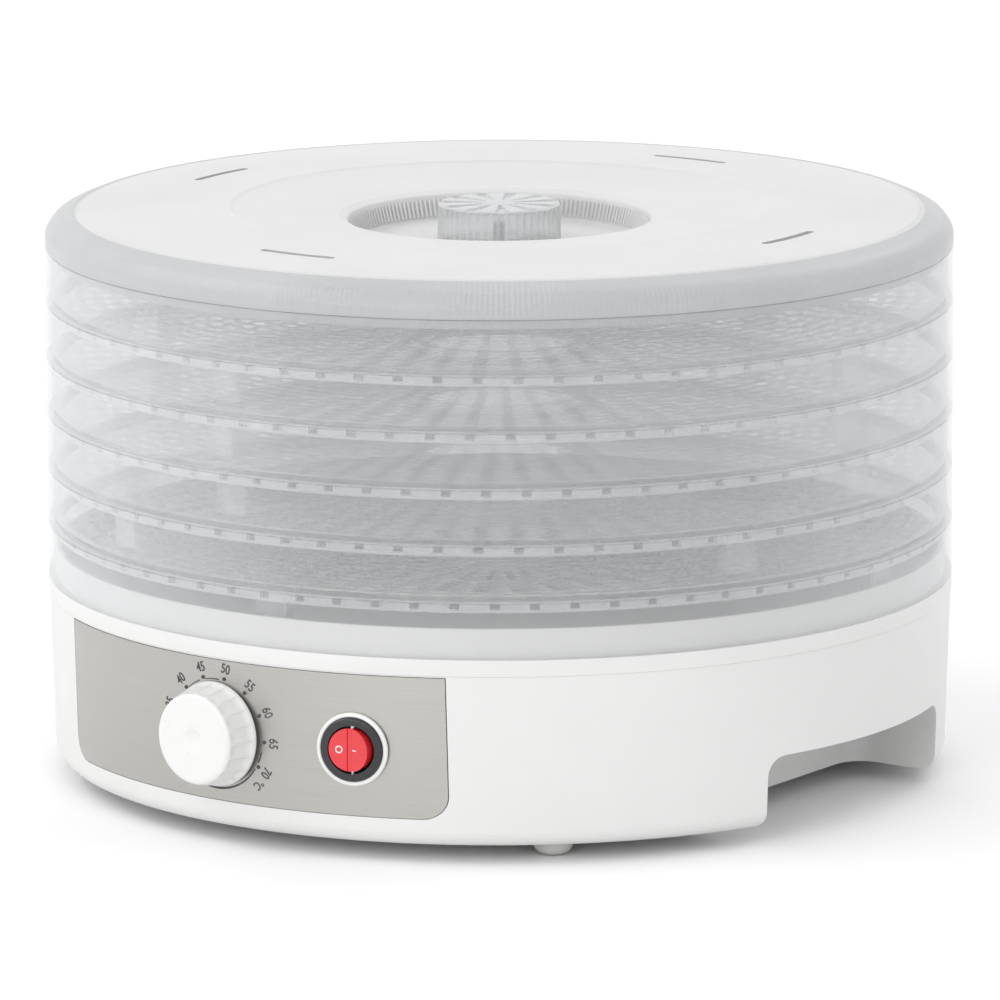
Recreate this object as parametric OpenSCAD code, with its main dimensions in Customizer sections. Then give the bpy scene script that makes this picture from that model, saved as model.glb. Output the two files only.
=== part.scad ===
// Round food dehydrator: a fan-and-heater base, five clear stacking trays and a vented lid.
// Frame: +Z up, the table at z = 0, the tray axis on the Z axis, the control panel facing -Y.

/* [Overall] */
// Outer diameter of the trays, the lid and the rim of the base
body_d = 320; // [300:1:380]
// Height from the table to the seam where the clear rings start
base_h = 72; // [68:1:90]
// Height of one tray, seam to seam
tray_pitch = 19.5; // [17:0.5:26]
// Gap that the rubber feet leave under the base
foot_h = 6; // [4:0.5:10]

/* [Base housing] */
// Wall thickness of the moulded white parts
wall = 2.5; // [2:0.1:3.5]
// Height of the deck's outer band
band_h = 6; // [5:0.5:8]
// Draft of the housing wall
draft = 1.9; // [0:0.1:3]
// Radius round the bottom edge
bottom_r = 6; // [3:0.5:6.5]
// Angle from the front to the middle of each hand recess
handle_angle = 93; // [85:1:105]
// Width of a hand recess
handle_w = 108; // [80:1:116]
// Height of a hand recess above the bottom edge
handle_h = 25; // [18:1:30]
// Depth of a hand recess, inwards from the rim
handle_depth = 46; // [30:1:52]

/* [Control panel] */
// Width of the steel panel, straight across
panel_w = 164; // [150:1:176]
// Gap from the housing's bottom edge to the panel
panel_low = 10; // [8:0.5:14]
// Thickness of the steel panel
panel_t = 0.8; // [0.6:0.1:1.2]
// Radius of the panel's two lower corners
panel_r = 8; // [3:0.5:10]

/* [Thermostat] */
// Diameter of the knob at its base
knob_d = 36.5; // [30:0.5:40]
// Diameter of the knob's face
knob_face_d = 32; // [26:0.5:34]
// How far the knob stands out
knob_h = 12.5; // [10:0.5:16]
// Diameter of the control shaft
shaft_d = 6; // [5:0.5:6.5]
// Angle between two neighbouring marks on the dial
dial_step = 27.3; // [20:0.1:30]

/* [Switch] */
// Angle from the front to the switch
switch_angle = 19.3; // [18.5:0.1:22]
// Diameter of the switch barrel
switch_d = 20; // [19:0.5:22]
// Rocker tilt each side of level
rocker_tilt = 10; // [6:1:11]

/* [Trays] */
// Wall thickness of the clear parts
clear_t = 2; // [1.5:0.1:2.6]
// How far a rim reaches down inside the part below
nest_h = 3.7; // [2.5:0.1:5]
// Columns of slots round a tray floor
slot_columns = 36; // [24:2:40]
// Rings of slots in a tray floor
slot_rings = 9; // [6:1:10]
// Width of each slot
slot_w = 5; // [3:0.5:6]
// Diameter of the open centre of a tray
tray_hub_d = 56; // [40:1:80]
// Length of the four legs under each tray
leg_h = 15; // [10:0.5:15.5]

/* [Lid] */
// Height of the lid's top face above its seam
lid_h = 13.2; // [12:0.1:18]
// Diameter of the round well in the lid
well_d = 107; // [90:1:120]
// Diameter of the lid knob
lid_knob_d = 43.5; // [36:0.5:50]
// Height of the lid knob above the floor of its well
lid_knob_h = 14; // [10:0.5:15]

/* [Fan and heater] */
// Inner diameter of the air duct
duct_d = 120; // [110:1:130]
// Number of fan blades
fan_blades = 7; // [5:1:9]
// Diameter of the motor shaft
motor_shaft_d = 5; // [4:0.5:6]

/* [Hidden] */
$fn = 96;

// Clearances
rest_gap = 0.3;
nest_gap = 0.5;
turn_gap = 0.08;
hole_gap = 0.2;
seat_gap = 0.05;

// Levels, from the table up
z_bottom = foot_h;
z_seam = base_h;
z_band = z_seam - band_h;
z_deck = z_seam - wall;
z_ledge = z_bottom + wall;
z_inside = z_ledge + wall;
z_lid = z_seam + 6 * tray_pitch;
function z_tray(n) = z_seam + (6 - n) * tray_pitch;

// Radii of the stack
rim_r = body_d / 2;
clear_in_r = rim_r - clear_t;
nest_out_r = clear_in_r - nest_gap;
nest_in_r = nest_out_r - clear_t;
nest_ring_h = 10.3;
housing_step = 0.3;
housing_top_r = rim_r - housing_step;
function wall_r(z) = housing_top_r - (z_band - z) * tan(draft);
// How far a flat flange stands off the drafted wall, so that only its top edge meets it
function seat_rise(d) = d / 2 * tan(draft) + seat_gap;

// Bottom of the base
cover_ring_w = 10;
ledge_w = 9;
cover_r = wall_r(z_bottom) - cover_ring_w;
ledge_r = cover_r - ledge_w;
post_r = ledge_r - 9;
post_d = 9;
post_angles = [45, 135, 225, 315];
foot_d = 14;
foot_stem_d = 5;
foot_r = cover_r - foot_d / 2 - 0.5;
screw_d = 3.2;

// Control panel
panel_gap = 0.3;
z_panel = z_bottom + panel_low;
panel_h = z_band - 0.6 - z_panel;
z_knob = z_panel + panel_h / 2 - 1.2;
face_r = wall_r(z_knob);
dial_r = 19.8;
dial_marks_n = 8;
dial_first = -71;
mark_d = 1.3;
mark_t = 0.25;

// Thermostat
bush_d = 10;
pad_r = face_r - 7;
stat_d = 34;
stat_l = 16;
nut_t = 2.6;
nut_d = 16;
nut_seat_r = face_r + seat_rise(nut_d);
knob_gap = 0.8;
knob_bore_l = 9;
knob_flutes = 20;

// Switch
z_switch = z_knob;
bezel_d = switch_d + 2.5;
bezel_t = 2.2;
switch_ring_w = 1.5;
switch_face_r = wall_r(z_switch) + seat_rise(bezel_d + 2 * switch_ring_w);
switch_l = 20;
rocker_d = switch_d - 5;
rocker_low = 3;
rocker_rise = 2.2;
pivot_d = 2;
well_play = 0.9;

// Mains inlet
gland_d = 13.8;
gland_bore_d = 7.5;
gland_flange_d = gland_d + 5;
gland_flange_t = 2;
gland_cap_d = gland_bore_d + 8.5;
gland_l = 12;
z_gland = z_inside + 12;

// Motor, fan and heater, from the cover up
duct_r = duct_d / 2;
duct_t = 1;
z_duct = z_inside + 26;
stator_h = 16;
z_stator = z_ledge + 8;
z_plate = z_stator + stator_h;
plate_t = 2;
bush_l = 4;
rotor_d = 26;
air_gap = 0.5;
bracket_w = 20;
bracket_x = 46;
bracket_screw_x = bracket_x + 6;
bracket_screw_d = 4;
z_fan = z_plate + plate_t + bush_l + 3;
fan_h = 12;
hub_d = 28;
blade_pitch = 35;
tip_gap = 5;
z_coil = z_fan + fan_h + 7;
coil_r = 2.5;
coil_rings = [0.5 * duct_r, 0.75 * duct_r];
former_h = 11;
former_t = 1.2;
former_hub_r = 15;
wire_d = 2.4;
sleeve_extra = 0.8;
wire_r = rim_r - handle_depth - 14;
block = [30, 16, 14];
block_y = wire_r + 2;

// Stack
tray_turns = [0, -1, 1, -20, 7];
slot_first_r = tray_hub_d / 2 + 9;
slot_last_r = nest_in_r - 5;
slot_pitch = (slot_last_r - slot_first_r) / (slot_rings - 1);
spoke_w = 2.6;
rim_windows = 72;
leg_w = 12;
leg_out_r = sqrt(pow(nest_in_r - 1, 2) - pow(leg_w / 2, 2));
window_w = 3.4;
window_h = 2.3;
lid_turn = 3;
lid_slot_r = 0.7625 * rim_r;
lid_slot_w = 3;
lid_slot_l = 28;
shoulder_w = 9.8;
emboss_r = 0.594 * rim_r;
well_drop = 3.8;
well_floor = -0.5;

// Colours
white = [0.93, 0.93, 0.91];
steel = [0.76, 0.75, 0.72];
zinc = [0.66, 0.67, 0.68];
black = [0.16, 0.17, 0.18];
pale_grey = [0.80, 0.80, 0.77];
copper = [0.72, 0.42, 0.22];
clear = [0.86, 0.88, 0.88, 0.45];

// Helpers -----------------------------------------------------------------------------------

// Points along an arc, for an outline
function arc(c, r, from, to, steps = 8) =
    [for (i = [0:steps]) let(a = from + (to - from) * i / steps) [c[0] + r * cos(a), c[1] + r * sin(a)]];

// Stand a part on the wall: its own +Z points outwards, its own +Y points up
module facing(angle, r, z) {
    rotate([0, 0, angle]) translate([0, -r, z]) rotate([90, 0, 0]) children();
}

module rod(d, h) {
    cylinder(d = d, h = h);
}

module tube(outer_r, inner_r, h) {
    difference() {
        cylinder(r = outer_r, h = h);
        translate([0, 0, -1]) cylinder(r = inner_r, h = h + 2);
    }
}

// Base --------------------------------------------------------------------------------------

function housing_outside() = concat(
    [[housing_top_r, z_band]],
    arc([wall_r(z_bottom + bottom_r) - bottom_r, z_bottom + bottom_r], bottom_r, 0, -90)
);

module housing_envelope() {
    rotate_extrude() polygon(concat([[0, z_band]], housing_outside(), [[0, z_bottom]]));
}

module housing_shell() {
    rotate_extrude() polygon(concat(
        [[housing_top_r - wall, z_band]],
        housing_outside(),
        [
            [cover_r, z_bottom],
            [cover_r, z_ledge],
            [ledge_r, z_ledge],
            [ledge_r, z_inside],
            [wall_r(z_inside) - wall, z_inside]
        ]
    ));
}

// A skin that follows the drafted wall, between two offsets from its outer face
module drafted_skin(from, to) {
    low = z_bottom + bottom_r;
    rotate_extrude() polygon([
        [wall_r(low) + from, low],
        [wall_r(low) + to, low],
        [housing_top_r + to, z_band],
        [housing_top_r + from, z_band]
    ]);
}

// The space of one hand recess, made bigger by a margin on its closed sides
module recess_space(side, margin) {
    corner = 10;
    inner = rim_r - handle_depth - margin;
    half_w = handle_w / 2 + margin;
    top = z_bottom + handle_h + margin;
    rotate([0, 0, side * handle_angle]) intersection() {
        translate([0, 0, z_bottom - 1]) linear_extrude(top - z_bottom + 1) union() {
            translate([-half_w, -rim_r - 5]) square([2 * half_w, rim_r + 5 - inner - corner]);
            translate([-half_w + corner, -inner - corner - 1]) square([2 * (half_w - corner), corner + 1]);
            for (x = [-1, 1]) translate([x * (half_w - corner), -inner - corner]) circle(r = corner);
        }
        facing(0, inner - 1, 0) linear_extrude(handle_depth + margin + 6) union() {
            translate([-half_w, z_bottom - 1]) square([2 * half_w, top - z_bottom - 6]);
            translate([-half_w + 7, z_bottom - 1]) square([2 * half_w - 14, top - z_bottom + 1]);
            for (x = [-1, 1]) translate([x * (half_w - 7), top - 7]) circle(r = 7);
        }
    }
}

module panel_outline(margin) {
    right = panel_w / 2 + margin;
    top = panel_h / 2 + margin;
    r = panel_r + margin;
    facing(0, rim_r - 40, z_panel + panel_h / 2) linear_extrude(45) polygon(concat(
        [[right, top], [-right, top]],
        arc([r - right, r - top], r, 180, 270),
        arc([right - r, r - top], r, 270, 360)
    ));
}

module wall_holes(margin) {
    facing(0, pad_r - 5, z_knob) rod(bush_d + 2 * margin, 20);
    facing(switch_angle, switch_face_r - 12, z_switch) rod(switch_d + 2 * margin, 20);
}

module base_housing() {
    color(white) difference() {
        union() {
            housing_shell();
            intersection() {
                housing_envelope();
                union() {
                    for (side = [-1, 1]) recess_space(side, wall);
                    facing(0, pad_r, z_knob) rod(stat_d + 6, 12);
                }
            }
        }
        for (side = [-1, 1]) recess_space(side, 0);
        intersection() {
            drafted_skin(-panel_t, 2);
            panel_outline(panel_gap);
        }
        wall_holes(hole_gap);
        facing(180, wall_r(z_gland) - 8, z_gland) rod(gland_d + 2 * hole_gap, 12);
    }
}

module bottom_cover() {
    intake_slots = 24;
    color(white) difference() {
        translate([0, 0, z_bottom]) cylinder(r = cover_r - rest_gap, h = wall);
        for (side = [-1, 1]) recess_space(side, wall + rest_gap);
        for (i = [0:intake_slots - 1]) rotate([0, 0, (i + 0.5) * 360 / intake_slots])
            translate([32, -2, z_bottom - 1]) cube([32, 4, wall + 2]);
        for (a = post_angles) rotate([0, 0, a]) {
            translate([0, -post_r, z_bottom - 1]) rod(screw_d + 0.6, wall + 2);
            translate([0, -foot_r, z_bottom - 1]) rod(foot_stem_d, wall + 2);
        }
        for (side = [-1, 1]) translate([side * bracket_screw_x, 0, z_bottom - 1])
            rod(bracket_screw_d, wall + 2);
    }
}

module top_deck() {
    skirt_out_r = housing_top_r - wall - 0.4;
    color(white) difference() {
        union() {
            rotate_extrude() polygon([
                [duct_r, z_deck],
                [skirt_out_r - wall, z_deck],
                [skirt_out_r - wall, z_band - 4],
                [skirt_out_r, z_band - 4],
                [skirt_out_r, z_band],
                [rim_r, z_band],
                [rim_r, z_seam],
                [nest_out_r - rest_gap, z_seam],
                [nest_out_r - rest_gap, z_seam + nest_ring_h],
                [nest_out_r - rest_gap - clear_t, z_seam + nest_ring_h],
                [nest_out_r - rest_gap - clear_t, z_seam],
                [duct_r, z_seam]
            ]);
            for (a = post_angles) rotate([0, 0, a]) translate([0, -post_r, z_ledge])
                rod(post_d, z_deck - z_ledge + 1);
        }
        for (a = post_angles) rotate([0, 0, a]) translate([0, -post_r, z_ledge - 1]) rod(screw_d, 16);
    }
}

module outlet_grille() {
    grille_r = duct_r + 7;
    spokes = 24;
    color(white) difference() {
        translate([0, 0, z_seam]) cylinder(r = grille_r, h = 2);
        for (i = [0:spokes - 1]) rotate([0, 0, i * 360 / spokes]) {
            translate([18, -1.6, z_seam - 1]) cube([18, 3.2, 4]);
            translate([39, -3, z_seam - 1]) cube([duct_r - 41, 6, 4]);
        }
    }
}

module stacking_ring() {
    color(clear) translate([0, 0, z_seam]) rotate_extrude() polygon([
        [clear_in_r, 0],
        [rim_r, 0],
        [rim_r, tray_pitch - rest_gap],
        [clear_in_r, tray_pitch - rest_gap]
    ]);
}

module rubber_feet() {
    color(pale_grey) for (a = post_angles) rotate([0, 0, a]) translate([0, -foot_r, 0]) {
        rotate_extrude() polygon(concat(
            [[0, foot_h], [0, 0]],
            arc([foot_d / 2 - 4, 4], 4, -90, 0, 6),
            [[foot_d / 2, foot_h]]
        ));
        translate([0, 0, foot_h]) rod(foot_stem_d, wall);
    }
}

module cover_screws() {
    color(zinc) for (a = post_angles) rotate([0, 0, a]) translate([0, -post_r, 0]) {
        translate([0, 0, z_bottom - 1.8]) rod(6.4, 1.8);
        translate([0, 0, z_bottom]) rod(screw_d, 14);
    }
}

// Controls ----------------------------------------------------------------------------------

module control_panel() {
    color(steel) difference() {
        intersection() {
            drafted_skin(-panel_t, 0);
            panel_outline(0);
        }
        wall_holes(hole_gap);
    }
}

module dial_marks() {
    color(black) intersection() {
        drafted_skin(0, mark_t);
        facing(0, rim_r - 20, z_knob) linear_extrude(25) union() {
            for (i = [0:dial_marks_n - 1]) rotate(-(dial_first + i * dial_step))
                translate([0, dial_r]) circle(d = mark_d);
        }
    }
}

module thermostat_knob() {
    base_r = knob_d / 2;
    top_r = knob_face_d / 2;
    color(white) facing(0, face_r + knob_gap, z_knob) difference() {
        rotate_extrude() polygon(concat(
            [[0, 0], [base_r, 0], [base_r, 1.5]],
            arc([top_r - 1.8, knob_h - 2.2], 1.8, 10, 80, 6),
            [[0, knob_h]]
        ));
        for (i = [0:knob_flutes - 1]) rotate([0, 0, i * 360 / knob_flutes])
            translate([base_r + 2.2, 0, 2]) rotate([0, -atan((base_r - top_r) / knob_h), 0])
                rod(6.4, knob_h + 2);
        translate([0, 0, -1]) rod(20, 1 + 3.6);
        difference() {
            translate([0, 0, -1]) rod(shaft_d, knob_bore_l + 1);
            translate([-5, shaft_d / 2 - 1.2, -2]) cube([10, 5, 20]);
        }
        translate([0, 0, knob_h + 10]) sphere(r = 11);
    }
}

module thermostat_shaft() {
    inside_l = 12;
    total = (face_r + knob_gap + knob_bore_l) - (pad_r - inside_l);
    color(zinc) facing(0, pad_r - inside_l, z_knob) difference() {
        rod(shaft_d, total);
        translate([-5, shaft_d / 2 - 1.2, total - knob_bore_l]) cube([10, 5, 20]);
    }
}

module thermostat_body() {
    color(zinc) facing(0, pad_r, z_knob) difference() {
        union() {
            translate([0, 0, -stat_l]) rod(stat_d, stat_l);
            rod(bush_d, nut_seat_r - pad_r + nut_t + 0.4);
            for (x = [-9, 9]) translate([x - 3.15, -0.4, -stat_l - 9]) cube([6.3, 0.8, 9]);
        }
        translate([0, 0, -12 - turn_gap]) rod(shaft_d + 2 * turn_gap, 40);
    }
}

module thermostat_nut() {
    color(zinc) facing(0, nut_seat_r, z_knob) difference() {
        cylinder(d = nut_d, h = nut_t, $fn = 6);
        translate([0, 0, -1]) rod(bush_d, nut_t + 2);
    }
}

module switch_ring() {
    color(white) facing(switch_angle, switch_face_r, z_switch)
        tube(bezel_d / 2 + switch_ring_w, bezel_d / 2, 1.4);
}

module switch_bezel() {
    well_r = rocker_d / 2 + well_play;
    color(black) facing(switch_angle, switch_face_r, z_switch) difference() {
        union() {
            rotate_extrude() polygon(concat(
                [[0, 0], [bezel_d / 2, 0]],
                arc([bezel_d / 2 - 1.2, bezel_t - 1.2], 1.2, 0, 90, 5),
                [[0, bezel_t]]
            ));
            translate([0, 0, -switch_l]) rod(switch_d, switch_l);
        }
        translate([0, 0, -rocker_low - 2.5]) cylinder(r = well_r, h = 20);
        rotate([90, 0, 0]) translate([0, 0, -well_r - 1]) rod(pivot_d, 2 * well_r + 2);
    }
}

module switch_rocker() {
    rocker_r = rocker_d / 2;
    color([0.82, 0.10, 0.14]) facing(switch_angle, switch_face_r, z_switch) rotate([0, -rocker_tilt, 0])
        difference() {
            translate([0, 0, -rocker_low]) rod(rocker_d, rocker_low + 8);
            for (side = [0, 180]) rotate([0, 0, side]) translate([0, -10, rocker_rise])
                rotate([0, -rocker_tilt, 0]) translate([-1, 0, 0]) cube([20, 20, 12]);
            rotate([90, 0, 0]) translate([0, 0, -rocker_r - 1])
                rod(pivot_d + 2 * turn_gap, rocker_d + 2);
        }
}

module switch_pivot() {
    length = rocker_d + 2 * well_play + 1.6;
    color(zinc) facing(switch_angle, switch_face_r, z_switch) rotate([90, 0, 0])
        translate([0, 0, -length / 2]) rod(pivot_d, length);
}

module switch_terminals() {
    color(copper) facing(switch_angle, switch_face_r - switch_l, z_switch)
        for (x = [-4.5, 4.5]) translate([x - 0.4, -3.15, -9]) cube([0.8, 6.3, 9]);
}

// Mains side --------------------------------------------------------------------------------

module cable_gland() {
    outer = wall_r(z_gland) + seat_rise(gland_flange_d);
    neck = wall + 1;
    color(black) facing(180, outer, z_gland) difference() {
        union() {
            rod(gland_flange_d, gland_flange_t);
            cylinder(d = gland_flange_d, h = 5, $fn = 6);
            rotate_extrude() polygon(concat(
                [[0, 4], [gland_cap_d / 2, 4]],
                arc([gland_cap_d / 2 - 4, gland_l - 4], 4, 0, 90, 6),
                [[0, gland_l]]
            ));
            translate([0, 0, -neck]) rod(gland_d, neck + 1);
            translate([0, 0, -neck - gland_flange_t]) rod(gland_flange_d, gland_flange_t);
        }
        translate([0, 0, -neck - 3]) rod(gland_bore_d, neck + gland_l + 4);
    }
}

module terminal_block() {
    color([0.88, 0.87, 0.80]) translate([-block[0] / 2, block_y - block[1] / 2, z_ledge]) difference() {
        cube(block);
        for (i = [0:2]) translate([5 + 10 * i, block[1] / 2, 4]) rod(4.2, 20);
        for (i = [0:2]) translate([5 + 10 * i, -1, 4]) rotate([-90, 0, 0]) rod(3.2, 5);
    }
}

// A wire on the cover from the terminal block round to a control, up, and out to its terminal
module wire_run(turn, side, lane, reach) {
    r = wire_r + lane;
    low = z_ledge + wire_d / 2;
    sweep = side * (180 - asin((block[0] / 2 + 0.2) / r)) - turn;
    rotate([0, 0, turn]) {
        translate([0, 0, low]) rotate([0, 0, -90]) rotate_extrude(angle = sweep)
            translate([r, 0]) circle(d = wire_d);
        translate([0, -r, z_ledge]) rod(wire_d + sleeve_extra, z_knob - z_ledge + wire_d);
        facing(0, r, z_knob) rod(wire_d, reach - r);
    }
}

module wiring() {
    switch_reach = switch_face_r - switch_l - 9;
    stat_reach = pad_r - stat_l - 9;
    color([0.25, 0.25, 0.28]) {
        wire_run(switch_angle + asin(4.5 / switch_reach), 1, 0, switch_reach);
        wire_run(-asin(9 / stat_reach), -1, 5, stat_reach);
    }
}

// Motor and fan -----------------------------------------------------------------------------

module motor_stator() {
    color(zinc) difference() {
        translate([-30, -24, z_stator]) cube([60, 48, stator_h]);
        translate([0, 0, z_stator - 1]) rod(rotor_d + 2 * air_gap, stator_h + 2);
        translate([17, -14, z_stator - 1]) cube([5, 28, stator_h + 2]);
    }
}

module motor_coil() {
    color(copper) difference() {
        translate([17, -14, z_stator - 5]) cube([18, 28, stator_h + 4]);
        translate([22, -15, z_stator]) cube([8, 30, stator_h + 2]);
    }
}

module motor_bracket() {
    color(zinc) difference() {
        union() {
            translate([-bracket_x, -bracket_w / 2, z_plate])
                cube([2 * bracket_x, bracket_w, plate_t]);
            for (side = [0, 180]) rotate([0, 0, side]) {
                translate([bracket_x - plate_t, -bracket_w / 2, z_ledge])
                    cube([plate_t, bracket_w, z_plate - z_ledge + plate_t]);
                translate([bracket_x - plate_t, -bracket_w / 2, z_ledge]) cube([14, bracket_w, plate_t]);
            }
        }
        translate([0, 0, z_plate - 1]) rod(12, plate_t + 2);
        for (side = [-1, 1]) translate([side * bracket_screw_x, 0, z_ledge - 1])
            rod(bracket_screw_d, plate_t + 2);
    }
}

module bracket_screws() {
    color(zinc) for (side = [-1, 1]) translate([side * bracket_screw_x, 0, 0]) {
        translate([0, 0, z_bottom]) rod(bracket_screw_d, wall + plate_t);
        translate([0, 0, z_ledge + plate_t]) rod(7, 2.2);
    }
}

module motor_bushes() {
    color([0.72, 0.60, 0.30]) {
        translate([0, 0, z_plate]) tube(6, motor_shaft_d / 2 + turn_gap, bush_l + plate_t);
        difference() {
            union() {
                translate([0, 0, z_stator - 6]) rod(12, 4);
                translate([-16, -5, z_stator - 4]) cube([32, 10, 2]);
                for (side = [-1, 1]) translate([side * 15.2 - 0.8, -5, z_stator - 4]) cube([1.6, 10, 4]);
            }
            translate([0, 0, z_stator - 7]) rod(motor_shaft_d + 2 * turn_gap, 10);
        }
    }
}

module motor_shaft() {
    color(steel) translate([0, 0, z_stator - 6]) rod(motor_shaft_d, z_fan + fan_h - z_stator + 6);
}

module motor_rotor() {
    color(zinc) translate([0, 0, z_stator]) tube(rotor_d / 2, motor_shaft_d / 2, stator_h - 1);
}

module fan_impeller() {
    tip_r = duct_r - tip_gap;
    chord = fan_h / sin(blade_pitch);
    color([0.24, 0.25, 0.27]) difference() {
        union() {
            translate([0, 0, z_fan]) rod(hub_d, fan_h);
            intersection() {
                translate([0, 0, z_fan + 0.5]) tube(tip_r, hub_d / 2 - 2, fan_h - 1);
                for (i = [0:fan_blades - 1]) rotate([0, 0, i * 360 / fan_blades])
                    translate([hub_d / 2 - 1.5, 0, z_fan + fan_h / 2]) rotate([blade_pitch, 0, 0])
                        translate([0, -chord / 2, -0.8]) cube([tip_r, chord, 1.6]);
            }
        }
        translate([0, 0, z_fan - 1]) rod(motor_shaft_d, fan_h + 2);
        translate([0, 0, z_fan - 1]) tube(hub_d / 2 - 2, motor_shaft_d / 2 + 2.5, fan_h - 2);
    }
}

module air_duct() {
    color(steel) {
        translate([0, 0, z_duct]) tube(duct_r + duct_t, duct_r, z_deck - z_duct);
        translate([0, 0, z_duct]) tube(duct_r + 12, duct_r, duct_t);
    }
}

module heater_frame() {
    color([0.80, 0.74, 0.60]) difference() {
        union() {
            translate([0, 0, z_coil - former_h / 2]) tube(former_hub_r, former_hub_r - 2, former_h);
            for (i = [0:5]) rotate([0, 0, i * 60])
                translate([former_hub_r - 1, -former_t / 2, z_coil - former_h / 2])
                    cube([duct_r - former_hub_r + 0.9, former_t, former_h]);
        }
        for (r = coil_rings) translate([0, 0, z_coil]) rotate_extrude() translate([r, 0]) circle(r = coil_r);
    }
}

module heater_coils() {
    color([0.55, 0.50, 0.46]) for (r = coil_rings)
        translate([0, 0, z_coil]) rotate_extrude() translate([r, 0]) circle(r = coil_r);
}

module thermal_cutout() {
    color(black) rotate([0, 0, 150]) translate([-6, -duct_r - duct_t - 9, z_coil - 8]) difference() {
        cube([12, 8.5, 16]);
        translate([6, -1, 8]) rotate([-90, 0, 0]) rod(3, 5);
    }
}

// Trays and lid -----------------------------------------------------------------------------

module tray_floor_slots() {
    for (ring = [0:slot_rings - 1]) {
        r = slot_first_r + ring * slot_pitch;
        length = 2 * PI * r / slot_columns - spoke_w;
        for (i = [0:slot_columns - 1]) rotate(i * 360 / slot_columns)
            translate([-length / 2, r - slot_w / 2]) square([length, slot_w]);
    }
}

module tray(n) {
    hub_r = tray_hub_d / 2;
    z = z_tray(n);
    color(clear) translate([0, 0, z]) rotate([0, 0, tray_turns[n - 1]]) {
        difference() {
            rotate_extrude() polygon([
                [nest_in_r - 1, 0],
                [nest_in_r, 0],
                [nest_in_r, -nest_h],
                [nest_out_r, -nest_h],
                [nest_out_r, 0],
                [rim_r, 0],
                [rim_r, tray_pitch - rest_gap],
                [clear_in_r, tray_pitch - rest_gap],
                [clear_in_r, clear_t],
                [nest_in_r - 1, clear_t]
            ]);
            for (i = [0:rim_windows - 1]) rotate([0, 0, i * 360 / rim_windows])
                translate([-window_w / 2, -nest_out_r - 0.25, -nest_h + 0.9])
                    cube([window_w, clear_t + 0.5, window_h]);
        }
        linear_extrude(clear_t) difference() {
            circle(r = nest_in_r - 1);
            circle(r = hub_r);
            tray_floor_slots();
        }
        difference() {
            translate([0, 0, clear_t]) cylinder(r = hub_r + 3, h = 2.5);
            translate([0, 0, clear_t - 1]) cylinder(r = hub_r, h = 5);
        }
    }
}

module tray_legs(n) {
    color(clear) translate([0, 0, z_tray(n)]) rotate([0, 0, tray_turns[n - 1]])
        for (i = [0:3]) rotate([0, 0, 90 * i])
            translate([-leg_w / 2, -leg_out_r, -leg_h]) cube([leg_w, clear_t, leg_h]);
}

module tray_1() {
    tray(1);
}

module tray_1_legs() {
    tray_legs(1);
}

module tray_2() {
    tray(2);
}

module tray_2_legs() {
    tray_legs(2);
}

module tray_3() {
    tray(3);
}

module tray_3_legs() {
    tray_legs(3);
}

module tray_4() {
    tray(4);
}

module tray_4_legs() {
    tray_legs(4);
}

module tray_5() {
    tray(5);
}

module tray_5_legs() {
    tray_legs(5);
}

module lid() {
    well_r = well_d / 2;
    slot_sweep = lid_slot_l / lid_slot_r * 180 / PI;
    edge_z = lid_h - 1.4;
    color([0.92, 0.93, 0.93, 0.7]) translate([0, 0, z_lid]) rotate([0, 0, lid_turn]) difference() {
        rotate_extrude() polygon(concat(
            [[nest_in_r, -nest_h], [nest_out_r, -nest_h], [nest_out_r, 0], [rim_r, 0]],
            arc([rim_r - 4, 3], 4, 0, 48, 5),
            [
                [rim_r - shoulder_w, edge_z],
                [emboss_r, lid_h],
                [emboss_r - 1, lid_h - 0.7],
                [well_r + 2, lid_h - well_drop],
                [well_r, lid_h - well_drop - 1.2],
                [well_r - 1.5, well_floor + 1],
                [well_r - 2.5, well_floor],
                [0, well_floor],
                [0, well_floor - clear_t],
                [well_r - 0.5, well_floor - clear_t],
                [well_r + clear_t, lid_h - well_drop - 3],
                [emboss_r, lid_h - clear_t - 0.9],
                [rim_r - shoulder_w - 1, edge_z - clear_t],
                [nest_in_r, 3.5]
            ]
        ));
        for (i = [0:3]) rotate([0, 0, 90 * i - 90 - slot_sweep / 2])
            rotate_extrude(angle = slot_sweep) translate([lid_slot_r - lid_slot_w / 2, lid_h - 8])
                square([lid_slot_w, 12]);
        translate([0, 0, well_floor - clear_t - 1]) rod(4 + 2 * hole_gap, clear_t + 2);
    }
}

module lid_knob() {
    r = lid_knob_d / 2;
    flutes = 48;
    petals = 11;
    color([0.88, 0.89, 0.89, 0.6]) translate([0, 0, z_lid + well_floor]) difference() {
        rotate_extrude() polygon(concat(
            [[0, 0], [r, 0]],
            arc([r - 1.5, lid_knob_h - 1.5], 1.5, 0, 90, 5),
            [[0, lid_knob_h]]
        ));
        for (i = [0:flutes - 1]) rotate([0, 0, i * 360 / flutes])
            translate([r + 0.5, 0, 1.5]) rod(2, lid_knob_h);
        for (i = [0:petals - 1]) rotate([0, 0, i * 360 / petals])
            translate([0, 0, lid_knob_h - 0.6]) linear_extrude(2) union() {
                translate([0, r - 5]) circle(d = 5);
                polygon([[-2.4, r - 5.6], [-0.5, 8], [0.5, 8], [2.4, r - 5.6]]);
            }
        translate([0, 0, -1]) rod(4, 9);
    }
}

module lid_knob_screw() {
    color(zinc) translate([0, 0, z_lid + well_floor - clear_t]) {
        translate([0, 0, -2.4]) rod(8, 2.4);
        rod(4, clear_t + 7);
    }
}

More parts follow.
